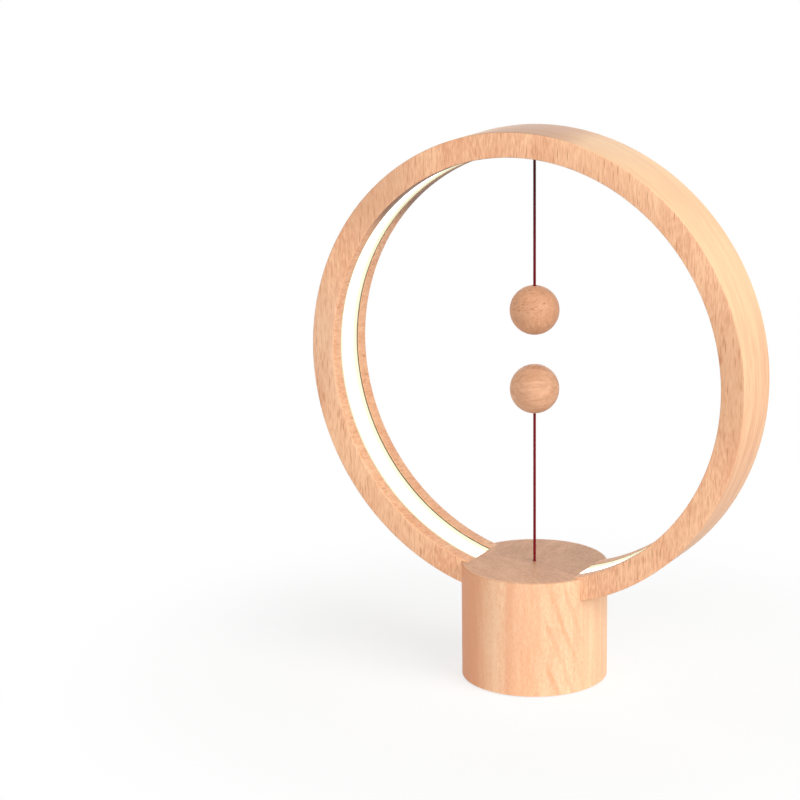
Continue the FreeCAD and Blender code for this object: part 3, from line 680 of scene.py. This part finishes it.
# The upper string is painted darker towards the ring, as painted shade.
def stringFinish():
    look = stringLook
    finish = newFinish("waxedString")
    colour = finish.mix(finish.ease(finish.height(), *look["fade"]), look["red"], look["shadedWine"])
    fibre = finish.noise(finish.scaled(finish.place(), look["fibres"]), roughness=look["crisp"])
    colour = finish.mix(finish.ease(fibre, *look["darkFrom"]) * look["darkDepth"], colour, look["dark"])
    return finish.surface(Base_Color=colour, Roughness=look["rough"], Specular_IOR_Level=look["shine"],
                          Normal=finish.bump(fibre, look["raised"]))


# The route is a smooth curve, and the strands follow points read back from it.
def routePoints(name, points):
    curve = bpy.data.curves.new(name, "CURVE")
    curve.dimensions = "3D"
    curve.resolution_u = 24
    spline = curve.splines.new("NURBS")
    spline.points.add(len(points) - 1)
    for point, place in zip(spline.points, points):
        point.co = (*place, 1)
    spline.order_u = 3
    spline.use_endpoint_u = True
    holder = bpy.data.objects.new(name, curve)
    line = bpy.data.meshes.new_from_object(holder)
    read = [vert.co.copy() for vert in line.vertices]
    bpy.data.objects.remove(holder)
    bpy.data.curves.remove(curve)
    bpy.data.meshes.remove(line)
    return read


# Even stops along a route: each is a point, two directions across the route, and the length so far.
def evenStops(route, count):
    lengths = [0]
    for a, b in zip(route, route[1:]):
        lengths.append(lengths[-1] + (b - a).length)
    stops = []
    k = 0
    for at in evenly(0, lengths[-1], count):
        while k < len(route) - 2 and lengths[k + 1] < at:
            k += 1
        run = max(lengths[k + 1] - lengths[k], 1e-9)         # a doubled point has no length
        share = (at - lengths[k]) / run
        ahead = (route[k + 1] - route[k]).normalized()
        side = ahead.cross(Vector((0, 1, 0))).normalized()
        stops.append((route[k].lerp(route[k + 1], share), side, ahead.cross(side), at))
    return stops


# Strands round a core. A bend is twisted as the string is, and rounded to a ball.
def twistedMesh(name, route, radius, isBend):
    size = stringSizes
    count = round((route[-1] - route[0]).length / size["pitch"] * size["steps"])
    if isBend:
        count = size["bendSteps"]
    swell = [max(math.sqrt(1 - x ** 2), size["bendEnd"]) if isBend else 1 for x in evenly(-1, 1, count)]
    stops = evenStops(route, count)
    strand = radius * size["strandShare"]
    lay = [(strand, radius - strand, i / size["strands"]) for i in range(size["strands"])]
    lay.append((radius * size["coreShare"], 0, 0))
    form = bmesh.new()
    for thick, out, start in lay:
        rings = []
        for (point, side, up, at), full in zip(stops, swell):
            a = math.tau * (at / size["pitch"] + start)
            centre = point + (side * math.cos(a) + up * math.sin(a)) * out * full
            rings.append([centre + (side * math.cos(b) + up * math.sin(b)) * thick * full
                          for b in turns(size["sides"])])
        addSkin(form, rings)
    return meshFrom(name, form)


# A string from its knotted or hidden end to the other, as long and as thick as its node.
def addString(name, body, node, downwards, isBend=False):
    low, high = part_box(node)
    ends = (high[2], low[2]) if downwards else (low[2], high[2])
    radius = (high[0] - low[0]) / 2
    route = routePoints(name + "Route", [(0, 0, height) for height in evenly(*ends, stringSizes["runs"])])
    piece = addPiece(name, twistedMesh(name, route, radius, isBend), body, [waxedString], "red_string", node)
    return piece, route, radius


waxedString = stringFinish()
for name, downwards in (("upper", True), ("lower", False)):
    string, route, radius = addString(name + "String", name + "_string", name + "_cord", downwards)
    for part, body in (("Inside", "base" if downwards else "pull"), ("Bend", name + "_gimbal")):
        addString(f"{name}String{part}", body, f"{name}_cord_{part.lower()}", downwards, part == "Bend")
print("strings twisted")


baseLook = {
    **beechLook,
    "pale": paint(255, 215, 176),
    "deep": paint(242, 180, 139),
    "tone": (11, 9, 1.3),
    "streak": (2.0, 9, 0.6),
    "fibre": (0.6, 3.4, 1.1),
    "flecks": ((0.6, 5, 0.34, 0.45),),
    "towards": (0.898, 0.440, 0),    # the way across the front that the figure is told in
    "pith": (0.016, -0.028),         # the heart of the front board's tree
    "lean": 0.32,                    # how far the growth layers lean on their way up
    "spacing": 0.0066,
    "peak": 0.01505,
    "sway": 2.6,
    "swayMarks": (110, 110, 60),     # to a metre along each axis
    "crest": (0.1, 1),               # the part of each layer that shows as a stroke
    "strokes": (0.0050, 0.0060, 0.012, 0.028),       # where the layers show as strokes, and where they fade
    "broken": (-0.14, 0.08, 0.45, 1),                # sways at which a stroke is faint and full, and how full
    "strokeDepth": 0.5,
    "stroke": paint(236, 158, 114),
    "litCream": (0.017, 0.029),         # where it is painted paler towards its right edge, as painted light
    "litCreamDepth": 0.3,
    "litCreamColour": paint(255, 222, 178),
    "band": (-0.0148, -0.0128, 0.004),               # start, fullest place and end of the ruddy band
    "bandDepth": 0.38,
    "joint": (0.0003, 0.0006),       # the glue line between the front board and the back one
    "behindDepth": 0.18,
    "leftShade": (-0.036, -0.016),      # where its left edge is painted in shade, deeper towards that edge
    "leftShadeDepth": 0.85,
    "ruddy": paint(236, 160, 116),
}
topLook = {
    **beechLook,
    # darker than the side: partly the end grain's own colour, partly painted shade
    "pale": paint(221, 168, 126),
    "deep": paint(192, 136, 97),
    "across": (0, 0, 1),
    "tone": (9, 3, 1.2),
    "streak": (1.6, 5, 1.0),
    "fibre": (0.7, 3, 1.6),
    "flecks": ((1.0, 5, 0.3, 0.4),),
    "frontRays": (0.90, -0.44, 0),
    "backRays": (0.10, 1, 0),
    "seam": 0.0004,                  # half the glue line's width
    "seamDepth": 0.4,
    "seamColour": paint(150, 96, 66),
    "from": (0.0573, 0.0578),        # heights between which the side becomes the top
    "rimHighlight": (0.0342, 0.0357),         # painted highlight, where the top turns paler towards its rounded edge
    "rimHighlightDepth": 0.45,
}


# The front board's growth layers, its ruddy band, the ruddier board behind the glue line, and painted light
# and shade on its right and left edges.
def boardFigure(finish, place, colour, look):
    aside = finish.measure("DOT_PRODUCT", place, look["towards"])
    across, depth, height = finish.axes(place)
    across = across - look["pith"][0]
    inward = depth - look["pith"][1]
    layer = finish.maths("SQRT", across * across + inward * inward) + height * look["lean"] - look["peak"]
    sway = finish.noise(finish.scaled(place, look["swayMarks"])) - 0.5
    wave = finish.maths("SINE", layer * (math.tau / look["spacing"]) + sway * look["sway"])
    start, full, fading, gone = look["strokes"]
    stroke = finish.ease(wave, *look["crest"]) * finish.ease(aside, start, full)
    stroke = stroke * finish.ease(aside, fading, gone, 1, 0) * finish.ease(sway, *look["broken"])
    behind = finish.ease(depth, *look["joint"])
    # Painted light makes the board paler towards its right edge.
    colour = finish.mix(finish.ease(aside, *look["litCream"]) * look["litCreamDepth"], colour, look["litCreamColour"])
    colour = finish.mix(stroke * (1 - behind) * look["strokeDepth"], colour, look["stroke"])
    start, full, end = look["band"]
    band = finish.ease(aside, start, full) * finish.ease(aside, full, end, 1, 0) * look["bandDepth"]
    ruddy = band * (1 - behind) + behind * look["behindDepth"]
    # Painted shade deepens the board towards its left edge.
    ruddy = ruddy + finish.ease(aside, *look["leftShade"], look["leftShadeDepth"], 0)
    return finish.mix(ruddy, colour, look["ruddy"])


# Long grain up the side. On top, each board's end grain has its own rays.
def baseFinish():
    finish = newFinish("baseWood")
    place = finish.place()
    across, depth, height = finish.axes(place)
    side, sideRelief = beech(finish, place, baseLook)
    side = boardFigure(finish, place, side, baseLook)
    front, frontRelief = straightBeech(finish, {**topLook, "grain": topLook["frontRays"]})
    back, backRelief = straightBeech(finish, {**topLook, "grain": topLook["backRays"]})
    behind = finish.ease(depth, *baseLook["joint"])
    seam = finish.ease(finish.maths("ABSOLUTE", depth - baseLook["joint"][0]), 0, topLook["seam"], 1, 0)
    top = finish.mix(behind, front, back)
    top = finish.mix(seam * topLook["seamDepth"], top, topLook["seamColour"])
    # A painted highlight pales the top towards its rounded edge.
    rimHighlight = finish.ease(finish.maths("SQRT", across * across + depth * depth), *topLook["rimHighlight"])
    share = finish.ease(height, *topLook["from"]) * (1 - rimHighlight * topLook["rimHighlightDepth"])
    topRelief = finish.blend(behind, frontRelief, backRelief)
    return oiled(finish, finish.mix(share, side, top), finish.blend(share, sideRelief, topRelief))


# Marks are to a metre along each axis.
mouldedLook = {
    "metallic": 0,
    "marks": (2500, 2500, 2500),
    "raised": 0.00001,
    "rough": 0.5,
    "roughRange": (-0.12, 0.13),     # how far its marks are smoother or rougher than that
    "dark": 0.8,                     # how dark its clouds are
    "clouds": (90, 90, 90),
    "clouded": (0.5, 0.85),
    "cloudDepth": 1,
    "speckle": 0.3,                  # how much the marks break up the clouds
}
metalLook = {
    "metallic": 1,
    "marks": (9000, 9000, 500),
    "raised": 0.000008,
    "rough": 0.3,
    "roughRange": (-0.15, 0.15),
    "dark": 0.7,
    "clouds": (160, 160, 160),
    "clouded": (0.4, 0.75),
    "cloudDepth": 0.6,
    "speckle": 0,
}


# An even colour with fine marks and broad, slightly darker clouds.
def marked(name, colour, look, **changes):
    look = {**look, **changes}
    finish = newFinish(name)
    marks = finish.noise(finish.scaled(finish.place(), look["marks"]))
    clouds = finish.noise(finish.scaled(finish.place(), look["clouds"]), 2, 0.5) + marks * look["speckle"]
    darker = tuple(part * look["dark"] for part in colour[:3]) + (1,)
    smoother, rougher = [look["rough"] + change for change in look["roughRange"]]
    return finish.surface(
        Base_Color=finish.mix(finish.ease(clouds, *look["clouded"]) * look["cloudDepth"], colour, darker),
        Metallic=look["metallic"], Roughness=finish.blend(marks, smoother, rougher),
        Normal=finish.bump(marks, look["raised"]))


slotFinishes = {
    "beech": baseFinish(),
    "red_string": waxedString,
    "strip_board": marked("stripBoard", paint(236, 236, 230), mouldedLook, rough=0.45),
    "light_chip": marked("lightChip", paint(250, 228, 140), mouldedLook, rough=0.25, marks=(5000,) * 3),
    "brass": marked("turnedBrass", paint(214, 178, 104), metalLook, rough=0.28, marks=(400, 400, 9000)),
    "magnet_plating": marked("magnetPlating", paint(206, 207, 210), metalLook, rough=0.16),
    "steel": marked("zincedSteel", paint(186, 188, 192), metalLook, rough=0.34),
    "spring_steel": marked("springWire", paint(168, 170, 174), metalLook),
    "black_plastic": marked("blackPlastic", paint(44, 44, 46), mouldedLook, rough=0.55, raised=0.00002),
    "grey_plastic": marked("greyPlastic", paint(122, 124, 126), mouldedLook),
    "white_plastic": marked("whitePlastic", paint(232, 232, 226), mouldedLook, rough=0.35),
    "red_plastic": marked("redPlastic", paint(172, 40, 32), mouldedLook, rough=0.35),
    "tin": marked("tinnedSheet", paint(200, 202, 204), metalLook, rough=0.26),
    "circuit_board": marked("solderMask", paint(28, 96, 52), mouldedLook, rough=0.3),
    "wire_sheath": marked("wireSheath", paint(168, 32, 28), mouldedLook, rough=0.45),
    "silicone": marked("siliconeFoot", paint(52, 52, 52), mouldedLook, rough=0.7, raised=0.00003),
}
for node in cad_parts.values():
    for slot in node.material_slots:
        if slot.material.name in slotFinishes:
            slot.material = slotFinishes[slot.material.name]
print("works finished")


roomLook = {
    "horizon": 0.58,
    "ceiling": 0.12,
    "rise": (0.05, 0.8),     # sine of the heights between which the room dims
    "ground": 0.58,          # how much light the floor gives back
    "shown": 0.27,           # how much of it the camera sees
    "lift": 0.755,           # white added to the floor where the camera sees it
    "fade": (0.11, 0.26),    # metres over which the floor turns plain white
    "floorHalf": 6,
    "floorSquares": 8,
}


# One where the camera, a gloss or a glass sees the room.
def seenDirectly(finish):
    camera = finish.node("LightPath", output="Is Camera Ray")
    gloss, glass = camera.beside("Is Glossy Ray"), camera.beside("Is Transmission Ray")
    return finish.maths("MAXIMUM", finish.maths("MAXIMUM", camera, gloss), glass)


def floorFinish():
    finish = newFinish("whiteFloor")
    away = finish.measure("LENGTH", finish.place())
    ground, shown = [finish.node("BsdfDiffuse", {}, {"Color": (roomLook[key],) * 3 + (1,)})
                     for key in ("ground", "shown")]
    lift, white = [finish.node("Emission", {}, {"Color": (1, 1, 1, 1), "Strength": strength})
                   for strength in (roomLook["lift"], 1)]
    lifted = finish.node("AddShader", {}, {0: shown, 1: lift})
    seen = finish.node("MixShader", {}, {0: finish.ease(away, *roomLook["fade"]), 1: lifted, 2: white})
    finish.show(finish.node("MixShader", {}, {0: seenDirectly(finish), 1: ground, 2: seen}))
    return finish.holder


def addFloor():
    mesh = bpy.data.meshes.new("floor")
    form = bmesh.new()
    squares = roomLook["floorSquares"]
    bmesh.ops.create_grid(form, x_segments=squares, y_segments=squares, size=roomLook["floorHalf"])
    form.to_mesh(mesh)
    form.free()
    mesh.materials.append(floorFinish())
    floor = bpy.data.objects.new("floor", mesh)
    scene.collection.objects.link(floor)


def worldFinish():
    scene.world = bpy.data.worlds.new("whiteRoom")
    finish = Finish(scene.world)
    horizon, ceiling, white = [finish.node("Background", {}, {"Color": (1, 1, 1, 1), "Strength": strength})
                               for strength in (roomLook["horizon"], roomLook["ceiling"], 1)]
    rise = finish.axes(finish.node("TexCoord", output="Generated"))[2]
    dim = finish.node("MixShader", {}, {0: finish.ease(rise, *roomLook["rise"]), 1: horizon, 2: ceiling})
    finish.show(finish.node("MixShader", {}, {0: seenDirectly(finish), 1: dim, 2: white}), "OutputWorld")


# A lamp or camera that faces its target from an azimuth, an elevation and a distance.
def addFacing(item, place):
    a, e = math.radians(place["azimuth"]), math.radians(place["elevation"])
    back = Vector((math.sin(a) * math.cos(e), -math.cos(a) * math.cos(e), math.sin(e)))
    item.location = Vector(place["target"]) + back * place["distance"]
    item.rotation_mode = "QUATERNION"
    item.rotation_quaternion = back.to_track_quat("Z", "Y")
    scene.collection.objects.link(item)


lampTarget = (0, 0, 0.13)
lampPlaces = {
    "keyLamp": {"azimuth": 74, "elevation": 31, "distance": 3.2, "size": (2.4, 2.0), "power": 93},
    "frontLamp": {"azimuth": -4, "elevation": 8, "distance": 2.2, "size": (1.6, 1.2), "power": 21},
    "backLamp": {"azimuth": 205, "elevation": 15, "distance": 2.2, "size": (1.6, 1.2), "power": 8},
}
for name, place in lampPlaces.items():
    data = bpy.data.lights.new(name, "AREA")
    data.shape = "RECTANGLE"
    data.size, data.size_y = place["size"]
    data.energy = place["power"]
    addFacing(bpy.data.objects.new(name, data), {**place, "target": lampTarget})
addFloor()
worldFinish()

cameraPlace = {
    "target": (0.0, 0.0, 0.1398),
    "azimuth": 26.098,
    "elevation": 14.400,
    "distance": 1.2096,
    "sensor": 36,
    "lens": 112.32,
    "shift": -0.1682,        # the lamp stands right of the frame's middle
}
camera = bpy.data.objects.new("camera", bpy.data.cameras.new("camera"))
camera.data.sensor_width = cameraPlace["sensor"]
camera.data.lens = cameraPlace["lens"]
camera.data.shift_x = cameraPlace["shift"]
addFacing(camera, cameraPlace)
scene.camera = camera
scene.view_settings.view_transform = "Standard"
print("room lit")
